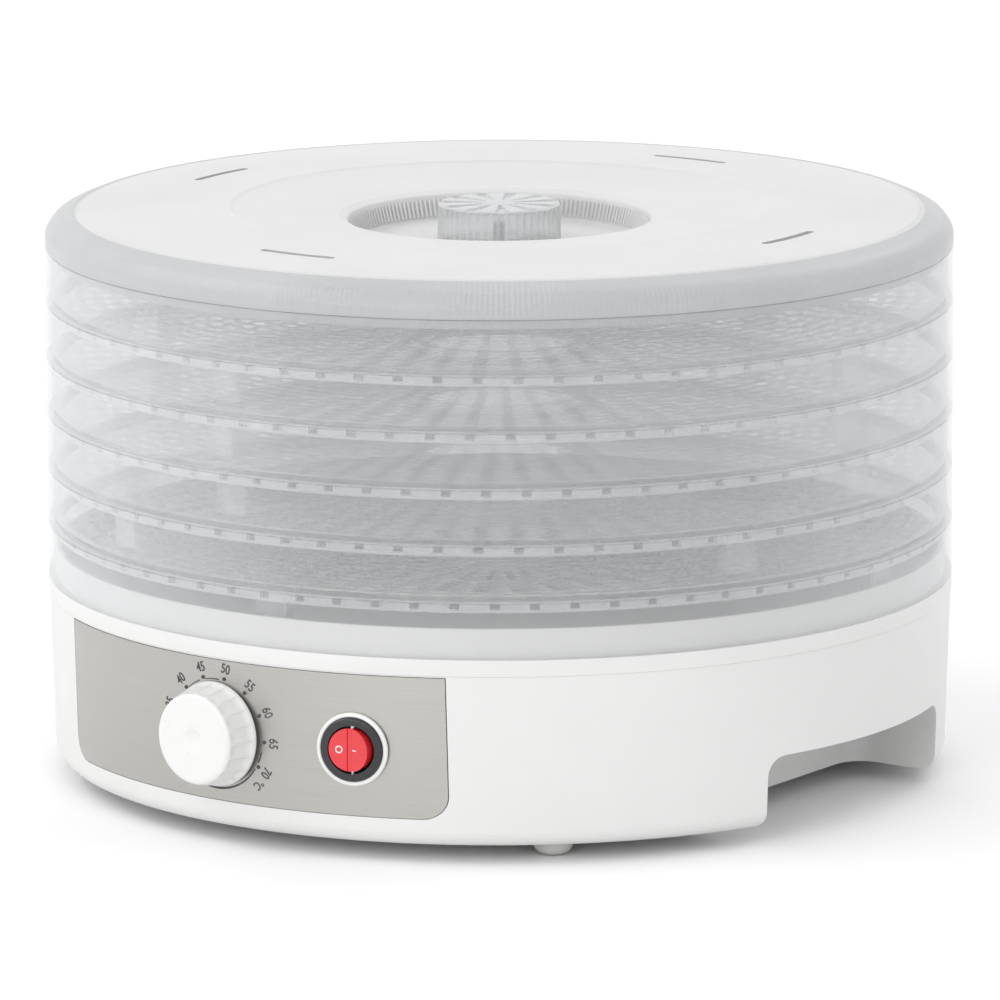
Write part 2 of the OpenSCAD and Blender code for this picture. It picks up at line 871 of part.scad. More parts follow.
base_housing();
bottom_cover();
top_deck();
outlet_grille();
stacking_ring();
control_panel();
dial_marks();
rubber_feet();
cover_screws();
thermostat_knob();
thermostat_shaft();
thermostat_body();
thermostat_nut();
switch_ring();
switch_bezel();
switch_rocker();
switch_pivot();
switch_terminals();
cable_gland();
terminal_block();
wiring();
motor_stator();
motor_coil();
motor_bracket();
bracket_screws();
motor_bushes();
motor_shaft();
motor_rotor();
fan_impeller();
air_duct();
heater_frame();
heater_coils();
thermal_cutout();
tray_1();
tray_2();
tray_3();
tray_4();
tray_5();
tray_1_legs();
tray_2_legs();
tray_3_legs();
tray_4_legs();
tray_5_legs();
lid();
lid_knob();
lid_knob_screw();
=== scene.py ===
"""Food dehydrator: the visual model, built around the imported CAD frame."""
import math

import bmesh
import bpy
from mathutils import Matrix, Vector


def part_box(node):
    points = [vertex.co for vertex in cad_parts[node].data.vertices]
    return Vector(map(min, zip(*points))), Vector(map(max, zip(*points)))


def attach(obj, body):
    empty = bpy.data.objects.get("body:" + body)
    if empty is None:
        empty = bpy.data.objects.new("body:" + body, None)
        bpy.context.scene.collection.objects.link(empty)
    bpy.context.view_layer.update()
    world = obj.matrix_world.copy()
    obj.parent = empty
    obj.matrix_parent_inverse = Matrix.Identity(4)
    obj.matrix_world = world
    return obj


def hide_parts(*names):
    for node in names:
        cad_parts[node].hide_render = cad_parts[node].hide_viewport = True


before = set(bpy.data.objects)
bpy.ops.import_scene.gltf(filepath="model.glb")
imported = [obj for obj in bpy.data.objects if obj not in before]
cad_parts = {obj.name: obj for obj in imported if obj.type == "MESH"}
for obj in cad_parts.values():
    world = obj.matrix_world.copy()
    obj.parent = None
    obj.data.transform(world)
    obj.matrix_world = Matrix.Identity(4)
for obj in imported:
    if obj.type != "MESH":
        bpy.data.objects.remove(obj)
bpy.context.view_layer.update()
scene = bpy.context.scene
MM = 0.001
TAU = 2 * math.pi

# ---------------------------------------------------------------------------------- places
GAP = 0.3 * MM
RIM_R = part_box("top_deck")[1].x
SEAM_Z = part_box("stacking_ring")[0].z
TRAYS = [1, 2, 3, 4, 5]
TRAY_TOP = {n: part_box(f"tray_{n}")[1].z + GAP for n in TRAYS}
PITCH = TRAY_TOP[1] - TRAY_TOP[2]
FLOOR_Z = {n: TRAY_TOP[n] - PITCH for n in TRAYS}
LID_SEAM_Z = TRAY_TOP[1]
LID_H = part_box("lid")[1].z - LID_SEAM_Z
TRAY_TURNS = {1: 0, 2: -1, 3: 1, 4: -20, 5: 7}
LID_TURN = 3

CLEAR_T = 2 * MM
NEST_H = 3.7 * MM
CLEAR_IN_R = RIM_R - CLEAR_T
NEST_OUT_R = CLEAR_IN_R - 0.5 * MM
NEST_IN_R = NEST_OUT_R - CLEAR_T
FLOOR_R = NEST_IN_R - 1 * MM
HUB_R = 28 * MM
LEG_H = 15 * MM

DRAFT = math.radians(1.9)
BAND_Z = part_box("base_housing")[1].z
HOUSING_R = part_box("base_housing")[1].x
DIAL_Z = (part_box("thermostat_knob")[0].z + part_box("thermostat_knob")[1].z) / 2
SWITCH_TURN = math.radians(19.3)
SWITCH_Z = (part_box("switch_ring")[0].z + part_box("switch_ring")[1].z) / 2
SWITCH_RING_R = (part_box("switch_ring")[1].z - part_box("switch_ring")[0].z) / 2
SWITCH_RISE = SWITCH_RING_R * math.tan(DRAFT) + 0.05 * MM


def wall_r(z):
    """Outer radius of the housing's drafted wall at a height."""
    return HOUSING_R - (BAND_Z - z) * math.tan(DRAFT)


# ---------------------------------------------------------------------------------- materials
class Nodes:
    """A material's node tree, with short ways to add and join nodes."""

    def __init__(self, name):
        self.material = bpy.data.materials.new(name)
        self.material.use_nodes = True
        self.tree = self.material.node_tree
        self.shader = self.tree.nodes["Principled BSDF"]
        self.coords = self.add("ShaderNodeTexCoord").outputs["Object"]

    def add(self, kind, **settings):
        node = self.tree.nodes.new(kind)
        for key, value in settings.items():
            setattr(node, key, value)
        return node

    def join(self, source, target):
        self.tree.links.new(source, target)

    def set(self, **values):
        for key, value in values.items():
            self.shader.inputs[key.replace("_", " ")].default_value = value

    def stretched(self, scale):
        mapping = self.add("ShaderNodeMapping")
        mapping.inputs["Scale"].default_value = scale
        self.join(self.coords, mapping.inputs["Vector"])
        return mapping.outputs["Vector"]

    def around(self, scale):
        """Coordinates unrolled round the Z axis: angle, height and radius, each with a scale."""
        split = self.add("ShaderNodeSeparateXYZ")
        self.join(self.coords, split.inputs[0])
        angle = self.add("ShaderNodeMath", operation="ARCTAN2")
        self.join(split.outputs["X"], angle.inputs[0])
        self.join(split.outputs["Y"], angle.inputs[1])
        merged = self.add("ShaderNodeCombineXYZ")
        self.join(angle.outputs[0], merged.inputs["X"])
        self.join(split.outputs["Z"], merged.inputs["Y"])
        mapping = self.add("ShaderNodeMapping")
        mapping.inputs["Scale"].default_value = scale
        self.join(merged.outputs[0], mapping.inputs["Vector"])
        return mapping.outputs["Vector"]

    def noise(self, vector, scale, detail=3.0, roughness=0.55):
        node = self.add("ShaderNodeTexNoise")
        node.inputs["Scale"].default_value = scale
        node.inputs["Detail"].default_value = detail
        node.inputs["Roughness"].default_value = roughness
        self.join(vector, node.inputs["Vector"])
        return node.outputs["Fac"]

    def ramp(self, source, low, high, start=0.3, end=0.7):
        node = self.add("ShaderNodeMapRange")
        node.inputs["From Min"].default_value = start
        node.inputs["From Max"].default_value = end
        node.inputs["To Min"].default_value = low
        node.inputs["To Max"].default_value = high
        self.join(source, node.inputs["Value"])
        return node.outputs["Result"]

    def colours(self, source, low, high, start=0.3, end=0.7):
        node = self.add("ShaderNodeValToRGB")
        node.color_ramp.elements[0].color = (*low, 1)
        node.color_ramp.elements[1].color = (*high, 1)
        node.color_ramp.elements[0].position = start
        node.color_ramp.elements[1].position = end
        self.join(source, node.inputs["Fac"])
        self.join(node.outputs["Color"], self.shader.inputs["Base Color"])

    def vary(self, socket, source, low, high):
        self.join(self.ramp(source, low, high), self.shader.inputs[socket])

    def bump(self, source, strength, distance=0.1 * MM):
        node = self.add("ShaderNodeBump")
        node.inputs["Strength"].default_value = strength
        node.inputs["Distance"].default_value = distance
        self.join(source, node.inputs["Height"])
        self.join(node.outputs["Normal"], self.shader.inputs["Normal"])


def moulded(name, low, high, roughness, grain=900, strength=0.12, **values):
    """Injection-moulded plastic: faint colour clouds, a fine spark-eroded grain and uneven gloss."""
    n = Nodes(name)
    clouds = n.noise(n.coords, 18)
    fine = n.noise(n.coords, grain, 2)
    n.colours(clouds, low, high)
    n.vary("Roughness", n.noise(n.coords, 60), *roughness)
    n.bump(fine, strength, 0.03 * MM)
    n.set(**values)
    return n.material


def clear_plastic(name, low, high, thin, edge, roughness, ribs=0):
    """Clear moulded plastic: thin where it is seen square on, denser towards its edges."""
    n = Nodes(name)
    n.colours(n.noise(n.coords, 25), low, high)
    n.vary("Roughness", n.noise(n.coords, 20, 1), *roughness)
    facing = n.add("ShaderNodeLayerWeight")
    facing.inputs["Blend"].default_value = 0.35
    flow = n.ramp(n.noise(n.coords, 6, 1), -0.012, 0.012)
    dense = n.ramp(facing.outputs["Facing"], thin, edge, 0.1, 0.95)
    total = n.add("ShaderNodeMath", operation="ADD", use_clamp=True)
    n.join(dense, total.inputs[0])
    n.join(flow, total.inputs[1])
    n.join(total.outputs[0], n.shader.inputs["Alpha"])
    if ribs:
        wave = n.add("ShaderNodeMath", operation="SINE")
        split = n.add("ShaderNodeSeparateXYZ")
        n.join(n.around((ribs, 1, 1)), split.inputs[0])
        n.join(split.outputs["X"], wave.inputs[0])
        n.bump(wave.outputs[0], 0.35, 0.1 * MM)
    else:
        n.bump(n.noise(n.coords, 120, 2), 0.03, 0.05 * MM)
    n.set(Specular_IOR_Level=0.6, IOR=1.49)
    return n.material


def brushed(name, low, high, roughness, scale, strength=0.12, **values):
    """Brushed metal: fine streaks that run round the drum."""
    n = Nodes(name)
    streaks = n.noise(n.around(scale), 1.0, 4, 0.7)
    broad = n.noise(n.coords, 14)
    n.colours(streaks, low, high, 0.25, 0.75)
    n.vary("Roughness", broad, *roughness)
    n.bump(streaks, strength, 0.04 * MM)
    n.set(Metallic=1.0, **values)
    return n.material


def plated(name, low, high, roughness, scale=120):
    """Plated or ground metal with a faint mottle."""
    n = Nodes(name)
    n.colours(n.noise(n.coords, scale, 4), low, high)
    n.vary("Roughness", n.noise(n.coords, 2.5 * scale), *roughness)
    n.bump(n.noise(n.coords, 6 * scale, 2), 0.1, 0.03 * MM)
    n.set(Metallic=1.0)
    return n.material


def layered(name, low, high, roughness, bands, metallic):
    """Thin sheets stacked along Z: motor laminations."""
    n = Nodes(name)
    wave = n.add("ShaderNodeTexWave", bands_direction="Z")
    wave.inputs["Scale"].default_value = bands
    wave.inputs["Distortion"].default_value = 0.4
    n.join(n.coords, wave.inputs["Vector"])
    n.colours(wave.outputs["Fac"], low, high, 0.1, 0.9)
    n.vary("Roughness", n.noise(n.coords, 200), *roughness)
    n.bump(wave.outputs["Fac"], 0.4, 0.1 * MM)
    n.set(Metallic=metallic)
    return n.material


def galvanised(name):
    """Zinc-coated sheet with its crystal spangle."""
    n = Nodes(name)
    cells = n.add("ShaderNodeTexVoronoi")
    cells.inputs["Scale"].default_value = 160
    n.join(n.coords, cells.inputs["Vector"])
    grey = n.add("ShaderNodeRGBToBW")
    n.join(cells.outputs["Color"], grey.inputs[0])
    n.colours(grey.outputs[0], (0.42, 0.43, 0.44), (0.60, 0.61, 0.62), 0.1, 0.9)
    n.vary("Roughness", grey.outputs[0], 0.28, 0.48)
    n.bump(grey.outputs[0], 0.05, 0.05 * MM)
    n.set(Metallic=1.0)
    return n.material


def flaked(name):
    """Mica sheet: pale brown, with flakes and a waxy gloss."""
    n = Nodes(name)
    flakes = n.noise(n.stretched((60, 60, 400)), 6, 6, 0.7)
    n.colours(flakes, (0.36, 0.29, 0.18), (0.66, 0.57, 0.42))
    n.vary("Roughness", flakes, 0.3, 0.6)
    n.bump(flakes, 0.3, 0.1 * MM)
    return n.material


WHITE = moulded("white_plastic", (0.665, 0.665, 0.66), (0.695, 0.695, 0.69), (0.36, 0.46),
                Specular_IOR_Level=0.45)
KNOB_WHITE = moulded("knob_white_plastic", (0.70, 0.70, 0.695), (0.73, 0.73, 0.725), (0.26, 0.34))
CLEAR = clear_plastic("clear_plastic", (0.70, 0.71, 0.725), (0.74, 0.75, 0.765), 0.13, 0.58,
                      (0.10, 0.16))
FLOOR_CLEAR = clear_plastic("clear_floor_plastic", (0.76, 0.77, 0.78), (0.82, 0.83, 0.84), 0.12, 0.45,
                            (0.10, 0.18))
RIM_CLEAR = clear_plastic("clear_rim_plastic", (0.74, 0.755, 0.77), (0.82, 0.835, 0.85), 0.30, 0.70,
                          (0.08, 0.14))
# Lid rim and shoulder: the lid plastic, see-through enough to show the ribs inside, with painted shade. Its
# darker grey than the frosted top stands in for the shade inside and for the shoulder turning away from the
# light.
LID_SHADED_CLEAR = clear_plastic("lid_clear_plastic_painted_shade", (0.53, 0.54, 0.55), (0.56, 0.57, 0.58), 0.62, 0.92,
                          (0.36, 0.44), 536)
LID_FROST = clear_plastic("lid_frosted_plastic", (0.665, 0.665, 0.665), (0.69, 0.69, 0.69), 0.80, 0.94,
                          (0.38, 0.5))
KNOB_CLEAR = clear_plastic("clear_knob_plastic", (0.58, 0.59, 0.60), (0.64, 0.65, 0.66), 0.40, 0.85,
                           (0.08, 0.16))
STEEL = brushed("brushed_panel", (0.42, 0.41, 0.39), (0.52, 0.51, 0.485), (0.30, 0.38), (4, 9000, 1))
INK = moulded("printed_ink", (0.035, 0.035, 0.04), (0.06, 0.06, 0.065), (0.45, 0.6))
WHITE_INK = moulded("white_ink", (0.80, 0.76, 0.76), (0.88, 0.85, 0.85), (0.45, 0.6))
FOOT = moulded("grey_rubber", (0.52, 0.52, 0.50), (0.60, 0.60, 0.58), (0.55, 0.7), 700, 0.25)
BLACK = moulded("black_plastic", (0.012, 0.012, 0.014), (0.025, 0.025, 0.028), (0.22, 0.34))
RED = moulded("red_plastic", (0.55, 0.010, 0.018), (0.68, 0.020, 0.030), (0.12, 0.20), 500, 0.05,
              Coat_Weight=0.6, Coat_Roughness=0.08)
CREAM = moulded("cream_plastic", (0.62, 0.60, 0.50), (0.70, 0.68, 0.58), (0.5, 0.6))
SLEEVE = moulded("wire_sleeve", (0.03, 0.03, 0.035), (0.06, 0.06, 0.065), (0.5, 0.65), 400, 0.2)
ZINC = plated("zinc_plate", (0.48, 0.49, 0.50), (0.62, 0.63, 0.64), (0.26, 0.4))
BRIGHT = plated("bright_steel", (0.55, 0.55, 0.54), (0.68, 0.68, 0.67), (0.16, 0.26))
BRASS = plated("brass", (0.55, 0.40, 0.16), (0.70, 0.54, 0.26), (0.22, 0.36))
COPPER = plated("enamelled_copper", (0.42, 0.15, 0.06), (0.62, 0.27, 0.12), (0.2, 0.32), 300)
HOT_WIRE = plated("heater_wire", (0.22, 0.20, 0.19), (0.38, 0.35, 0.33), (0.35, 0.5), 400)
LAMINATED = layered("motor_laminations", (0.12, 0.12, 0.13), (0.34, 0.35, 0.36), (0.35, 0.5), 320, 0.9)
SHEET = galvanised("galvanised_sheet")
MICA = flaked("mica_sheet")


# ---------------------------------------------------------------------------------- mesh tools
class Shape:
    """Vertices and faces of one piece, gathered from several closed shells."""

    def __init__(self):
        self.verts = []
        self.faces = []
        self.slots = []

    def add(self, verts, faces, slot=0, turn=0.0, shift=(0, 0, 0)):
        start = len(self.verts)
        matrix = Matrix.Translation(shift) @ Matrix.Rotation(turn, 4, "Z")
        self.verts += [matrix @ Vector(v) for v in verts]
        self.faces += [[start + i for i in face] for face in faces]
        self.slots += [slot] * len(faces)

    def revolve(self, outline, steps=192, reshape=None, slot_of=None):
        """Turns a closed outline of (radius, height) points round the Z axis."""
        rows = len(outline)
        verts = []
        for i in range(steps):
            angle = TAU * i / steps
            for r, z in outline:
                if reshape:
                    r, z = reshape(r, z, angle)
                verts.append((r * math.cos(angle), r * math.sin(angle), z))
        start = len(self.verts)
        self.verts += [Vector(v) for v in verts]
        for j in range(rows):
            k = (j + 1) % rows
            slot = slot_of(outline[j], outline[k]) if slot_of else 0
            faces = [(i * rows + j, ((i + 1) % steps) * rows + j, ((i + 1) % steps) * rows + k,
                      i * rows + k) for i in range(steps)]
            self.faces += [[start + n for n in face] for face in faces]
            self.slots += [slot] * steps

    def plate(self, us, vs, is_open, place, wrap=True, slot=0):
        """A plate of cells between the lines us and vs. place(u, v, side) puts a corner in space."""
        made = {}
        columns = len(us) if wrap else len(us) - 1

        def corner(i, j, side):
            key = (i % len(us), j, side)
            if key not in made:
                made[key] = len(self.verts)
                self.verts.append(Vector(place(us[key[0]], vs[j], side)))
            return made[key]

        def solid(i, j):
            if j < 0 or j >= len(vs) - 1:
                return False
            if wrap:
                i %= columns
            elif i < 0 or i >= columns:
                return False
            return not is_open(i, j)

        def face(*corners):
            self.faces.append([corner(*c) for c in corners])
            self.slots.append(slot)

        for i in range(columns):
            for j in range(len(vs) - 1):
                if not solid(i, j):
                    continue
                face((i, j, 0), (i + 1, j, 0), (i + 1, j + 1, 0), (i, j + 1, 0))
                face((i, j, 1), (i, j + 1, 1), (i + 1, j + 1, 1), (i + 1, j, 1))
                if not solid(i - 1, j):
                    face((i, j, 0), (i, j + 1, 0), (i, j + 1, 1), (i, j, 1))
                if not solid(i + 1, j):
                    face((i + 1, j, 0), (i + 1, j, 1), (i + 1, j + 1, 1), (i + 1, j + 1, 0))
                if not solid(i, j - 1):
                    face((i, j, 0), (i, j, 1), (i + 1, j, 1), (i + 1, j, 0))
                if not solid(i, j + 1):
                    face((i, j + 1, 0), (i + 1, j + 1, 0), (i + 1, j + 1, 1), (i, j + 1, 1))

    def mesh(self, name, materials, sharp=32):
        mesh = bpy.data.meshes.new(name)
        mesh.from_pydata(self.verts, [], self.faces)
        for material in materials:
            mesh.materials.append(material)
        mesh.polygons.foreach_set("material_index", self.slots)
        bm = bmesh.new()
        bm.from_mesh(mesh)
        bmesh.ops.recalc_face_normals(bm, faces=bm.faces)
        bm.to_mesh(mesh)
        bm.free()
        mesh.shade_smooth()
        mesh.set_sharp_from_angle(angle=math.radians(sharp))
        return mesh


def place(name, mesh, body, slot, nodes=(), matrix=None):
    """Puts a mesh in the scene as a piece that rides on a body and stands for CAD nodes."""
    piece = bpy.data.objects.new(name, mesh)
    scene.collection.objects.link(piece)
    if matrix:
        piece.matrix_world = matrix
    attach(piece, body)
    if nodes:
        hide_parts(*nodes)
    return piece


def rounded(points, radius, steps=3):
    """An outline with its corners rounded. A point may carry its own radius as a third value."""
    outline = []
    count = len(points)
    for i, point in enumerate(points):
        here = Vector(point[:2])
        before = Vector(points[i - 1][:2]) - here
        after = Vector(points[(i + 1) % count][:2]) - here
        size = point[2] if len(point) > 2 else radius
        bend = math.pi - before.angle(after)
        if size <= 0 or bend < math.radians(4):
            outline.append((here.x, here.y))
            continue
        reach = min(size * math.tan(bend / 2), 0.45 * before.length, 0.45 * after.length)
        start = here + before.normalized() * reach
        end = here + after.normalized() * reach
        for k in range(steps + 1):
            t = k / steps
            p = start * (1 - t) ** 2 + here * 2 * t * (1 - t) + end * t ** 2
            outline.append((p.x, p.y))
    return outline


def block(size, centre):
    """Corners and faces of a box."""
    half = Vector(size) / 2
    verts = [(centre[0] + x * half.x, centre[1] + y * half.y, centre[2] + z * half.z)
             for x in (-1, 1) for y in (-1, 1) for z in (-1, 1)]
    faces = [(0, 1, 3, 2), (4, 6, 7, 5), (0, 4, 5, 1), (2, 3, 7, 6), (0, 2, 6, 4), (1, 5, 7, 3)]
    return verts, faces


def cut(mesh, tool):
    """The mesh with the tool's volume taken away."""
    first = bpy.data.objects.new("cut_first", mesh)
    second = bpy.data.objects.new("cut_second", tool)
    for piece in (first, second):
        scene.collection.objects.link(piece)
    modifier = first.modifiers.new("cut", "BOOLEAN")
    modifier.object = second
    modifier.solver = "EXACT"
    bpy.context.view_layer.update()
    result = bpy.data.meshes.new_from_object(first.evaluated_get(bpy.context.evaluated_depsgraph_get()))
    for piece in (first, second):
        bpy.data.objects.remove(piece)
    result.set_sharp_from_angle(angle=math.radians(32))
    return result


# ---------------------------------------------------------------------------------- trays
COLUMNS = 72
INNER_COLUMNS = 36
SPOKE_W = 3.6 * MM
ROW_PITCH = 6.2 * MM
SLOT_W = 3.4 * MM
FIRST_ROW_R = 36 * MM
SPLIT_R = 79 * MM
LEG_W = 12 * MM


def slotted_ring(shape, inner, outer, columns, low, high):
    """One ring of the floor: rows of short slots between radial spokes."""
    rows = round((outer - inner) / ROW_PITCH)
    step = (outer - inner) / rows
    radii = [inner]
    for row in range(rows):
        middle = inner + (row + 0.5) * step
        radii += [middle - SLOT_W / 2, middle + SLOT_W / 2]
    radii.append(outer)
    angles = []
    share = SPOKE_W / (0.5 * (inner + outer) * TAU / columns)
    for i in range(columns):
        angles += [(i - share / 2) * TAU / columns, (i + share / 2) * TAU / columns]

    def spot(angle, r, side):
        return (r * math.sin(angle), -r * math.cos(angle), high if side else low)

    shape.plate(angles, radii, lambda i, j: i % 2 == 1 and j % 2 == 1, spot, slot=2)


def nest_rim(shape, windows):
    """The rim that reaches down inside the part below, with or without a row of windows."""
    heights = [-NEST_H, -NEST_H + 0.9 * MM, -NEST_H + 3.2 * MM, 0.1 * MM]
    if not windows:
        shape.revolve(rounded([(NEST_IN_R, -NEST_H), (NEST_OUT_R, -NEST_H), (NEST_OUT_R, 0.1 * MM),
                               (NEST_IN_R, 0.1 * MM)], 0.4 * MM))
        return
    half = 1.7 * MM / NEST_OUT_R
    angles = []
    for i in range(COLUMNS):
        angles += [i * TAU / COLUMNS - half, i * TAU / COLUMNS + half,
                   (i + 0.5) * TAU / COLUMNS]

    def spot(angle, z, side):
        r = NEST_OUT_R if side else NEST_IN_R
        return (r * math.sin(angle), -r * math.cos(angle), z)

    shape.plate(angles, heights, lambda i, j: i % 3 == 0 and j == 1, spot, slot=1)


def tray_mesh():
    shape = Shape()
    top = PITCH - GAP
    shape.revolve(rounded([(FLOOR_R, 0), (RIM_R, 0, 0.45 * MM), (RIM_R, top), (CLEAR_IN_R, top),
                           (CLEAR_IN_R, CLEAR_T, 0.8 * MM), (FLOOR_R, CLEAR_T)], 0.5 * MM), 256)
    nest_rim(shape, True)
    slotted_ring(shape, FIRST_ROW_R - 2 * MM, SPLIT_R, INNER_COLUMNS, 0.1 * MM, CLEAR_T - 0.1 * MM)
    slotted_ring(shape, SPLIT_R, FLOOR_R - 0.02 * MM, COLUMNS, 0.1 * MM, CLEAR_T - 0.1 * MM)
    shape.revolve(rounded([(HUB_R, 0), (FIRST_ROW_R - 2.02 * MM, 0), (FIRST_ROW_R - 2.02 * MM, CLEAR_T),
                           (HUB_R + 3 * MM, CLEAR_T, 0.6 * MM), (HUB_R + 3 * MM, CLEAR_T + 2.5 * MM),
                           (HUB_R, CLEAR_T + 2.5 * MM)], 0.4 * MM), 96)
    reach = LEG_W / 2 / FLOOR_R
    for i in range(4):
        middle = i * TAU / 4
        angles = [middle - reach + reach * k / 3 for k in range(7)]

        def spot(angle, z, side):
            r = FLOOR_R - CLEAR_T + (1.2 * MM if side else 0)
            return (r * math.sin(angle), -r * math.cos(angle), z)

        shape.plate(angles, [-LEG_H, -LEG_H + 1 * MM, -0.02 * MM], lambda i, j: False, spot, wrap=False)
        for side in (-1, 1):
            edge = middle + side * reach
            r = FLOOR_R - 3.2 * MM
            verts, faces = block((1.0 * MM, 4.4 * MM, LEG_H - 0.1 * MM), (0, -r, -LEG_H / 2))
            shape.add(verts, faces, turn=edge)
    return shape.mesh("tray", [CLEAR, RIM_CLEAR, FLOOR_CLEAR])


def make_trays():
    """Every tray is the same piece, put on the stack at a slightly different turn."""
    pattern = tray_mesh()
    for n in TRAYS:
        mesh = pattern.copy()
        mesh.transform(Matrix.Rotation(math.radians(TRAY_TURNS[n]), 4, "Z"))
        place(f"slotted_tray_{n}", mesh, f"tray_{n}", "clear_plastic", [f"tray_{n}", f"tray_{n}_legs"],
              Matrix.Translation((0, 0, FLOOR_Z[n])))


def make_stacking_ring():
    shape = Shape()
    top = SEAM_Z + PITCH - GAP
    shape.revolve(rounded([(CLEAR_IN_R, SEAM_Z + 0.05 * MM), (RIM_R, SEAM_Z + 0.05 * MM), (RIM_R, top),
                           (CLEAR_IN_R, top)], 0.5 * MM), 256)
    place("lower_clear_ring", shape.mesh("lower_clear_ring", [CLEAR]), "base", "clear_plastic",
          ["stacking_ring"])


# ---------------------------------------------------------------------------------- lid
WELL_R = 53.5 * MM
EMBOSS_R = 95 * MM
SHOULDER_R = RIM_R - 9.8 * MM
RIBS = 536
WELL_RIBS = 180
LID_T = 2 * MM
WELL_FLOOR = -0.5 * MM
VENT_R = 122 * MM
VENT_L = 28 * MM
VENT_W = 3 * MM


def lid_outline():
    """Outer face from the nesting rim up over the shoulder and down into the well, then back inside."""
    top = LID_H
    edge = top - 1.4 * MM
    brim = top - 5.0 * MM
    outside = [
        (NEST_IN_R, 0, 0.3 * MM), (RIM_R, 0, 0.25 * MM), (RIM_R, 4.6 * MM, 5 * MM),
        (RIM_R - 3.0 * MM, 9.0 * MM, 6 * MM), (SHOULDER_R, edge, 1.2 * MM),
        (SHOULDER_R - 1.2 * MM, edge - 0.9 * MM, 0.4 * MM), (SHOULDER_R - 2.4 * MM, edge, 0.5 * MM),
        (EMBOSS_R + 1.6 * MM, top - 0.1 * MM, 0.8 * MM), (EMBOSS_R, top, 0.7 * MM),
        (EMBOSS_R - 1.4 * MM, top - 0.75 * MM, 0.9 * MM), (WELL_R + 3 * MM, top - 3.8 * MM, 1.5 * MM),
        (WELL_R, brim, 1.4 * MM), (WELL_R - 1.5 * MM, WELL_FLOOR + 1 * MM, 1.5 * MM),
        (WELL_R - 4 * MM, WELL_FLOOR, 1 * MM), (4 * MM, WELL_FLOOR, 0.2 * MM),
    ]
    inside = [
        (4 * MM, WELL_FLOOR - LID_T, 0.2 * MM), (WELL_R - 0.5 * MM, WELL_FLOOR - LID_T, 1 * MM),
        (WELL_R + 1.4 * MM, brim - 3 * MM, 1 * MM), (EMBOSS_R, top - 2.6 * MM, 1 * MM),
        (SHOULDER_R - 2 * MM, edge - LID_T, 1 * MM), (RIM_R - 5.2 * MM, 6.6 * MM, 3 * MM),
        (NEST_IN_R, 2.4 * MM, 1 * MM),
    ]
    return rounded(outside + inside, 0.5 * MM, 4)


def vent_cutter():
    """Four short arc-shaped slots with round ends, as one tool."""
    shape = Shape()
    sweep = VENT_L / VENT_R
    for i in range(4):
        middle = math.radians(LID_TURN) + i * TAU / 4
        steps = 12
        outline = []
        for k in range(steps + 1):
            angle = middle + sweep * (k / steps - 0.5)
            outline.append((VENT_R + VENT_W / 2, angle))
        for k in range(1, 6):
            a = math.pi / 2 - math.pi * k / 6
            outline.append((VENT_R + VENT_W / 2 * math.sin(a),
                            middle + sweep / 2 + VENT_W / 2 * math.cos(a) / VENT_R))
        for k in range(steps + 1):
            angle = middle - sweep * (k / steps - 0.5)
            outline.append((VENT_R - VENT_W / 2, angle))
        for k in range(1, 6):
            a = -math.pi / 2 + math.pi * k / 6
            outline.append((VENT_R + VENT_W / 2 * math.sin(a),
                            middle - sweep / 2 - VENT_W / 2 * math.cos(a) / VENT_R))
        count = len(outline)
        verts = [(r * math.sin(a), -r * math.cos(a), z) for z in (4 * MM, 20 * MM) for r, a in outline]
        faces = [list(range(count))[::-1], list(range(count, 2 * count))]
        faces += [(k, (k + 1) % count, count + (k + 1) % count, count + k) for k in range(count)]
        shape.add(verts, faces)
    return shape.mesh("vents", [])


def add_ribs(shape, count, path, width, height, slot):
    """Fine upright ribs, each a thin strip that follows a path of (radius, height) points."""
    for i in range(count):
        angle = TAU * i / count
        half = width / 2
        verts = []
        for r, z in path:
            verts += [(-half, -r, z), (half, -r, z), (0, -r + height, z)]
        faces = [(0, 1, 2), tuple(3 * (len(path) - 1) + k for k in (2, 1, 0))]
        for j in range(len(path) - 1):
            for k in range(3):
                m = (k + 1) % 3
                faces.append((3 * j + k, 3 * j + m, 3 * j + 3 + m, 3 * j + 3 + k))
        shape.add(verts, faces, slot, turn=angle)


def make_lid():
    shape = Shape()
    frost_from = SHOULDER_R - 0.5 * MM

    # Faces out past the shoulder crease take the painted-shade copy of the lid plastic, darker than the
    # frosted top; the rest take the frosted plastic.
    def slot_of(a, b):
        return 0 if max(a[0], b[0]) > frost_from else 1

    shape.revolve(lid_outline(), 256, slot_of=slot_of)
    body = cut(shape.mesh("lid_body", [LID_SHADED_CLEAR, LID_FROST]), vent_cutter())
    extra = Shape()
    nest_rim(extra, False)
    inner = [(NEST_IN_R - 0.1 * MM, 1.2 * MM), (NEST_IN_R - 0.1 * MM, 2.4 * MM),
             (RIM_R - 5.4 * MM, 6.4 * MM), (SHOULDER_R - 1.5 * MM, LID_H - 3.5 * MM)]
    add_ribs(extra, RIBS, inner, 0.9 * MM, 0.5 * MM, 0)
    outer_well = [(WELL_R - 2.6 * MM, WELL_FLOOR + 1.6 * MM), (WELL_R - 0.9 * MM, LID_H - 6.4 * MM)]
    add_ribs(extra, WELL_RIBS, outer_well, 0.9 * MM, 0.45 * MM, 1)
    ribs = extra.mesh("lid_ribs", [LID_SHADED_CLEAR, LID_FROST])
    spot = Matrix.Translation((0, 0, LID_SEAM_Z))
    place("vented_lid", body, "lid", "frosted_plastic", ["lid"], spot)
    place("lid_rim_and_ribs", ribs, "lid", "frosted_plastic", [], spot)


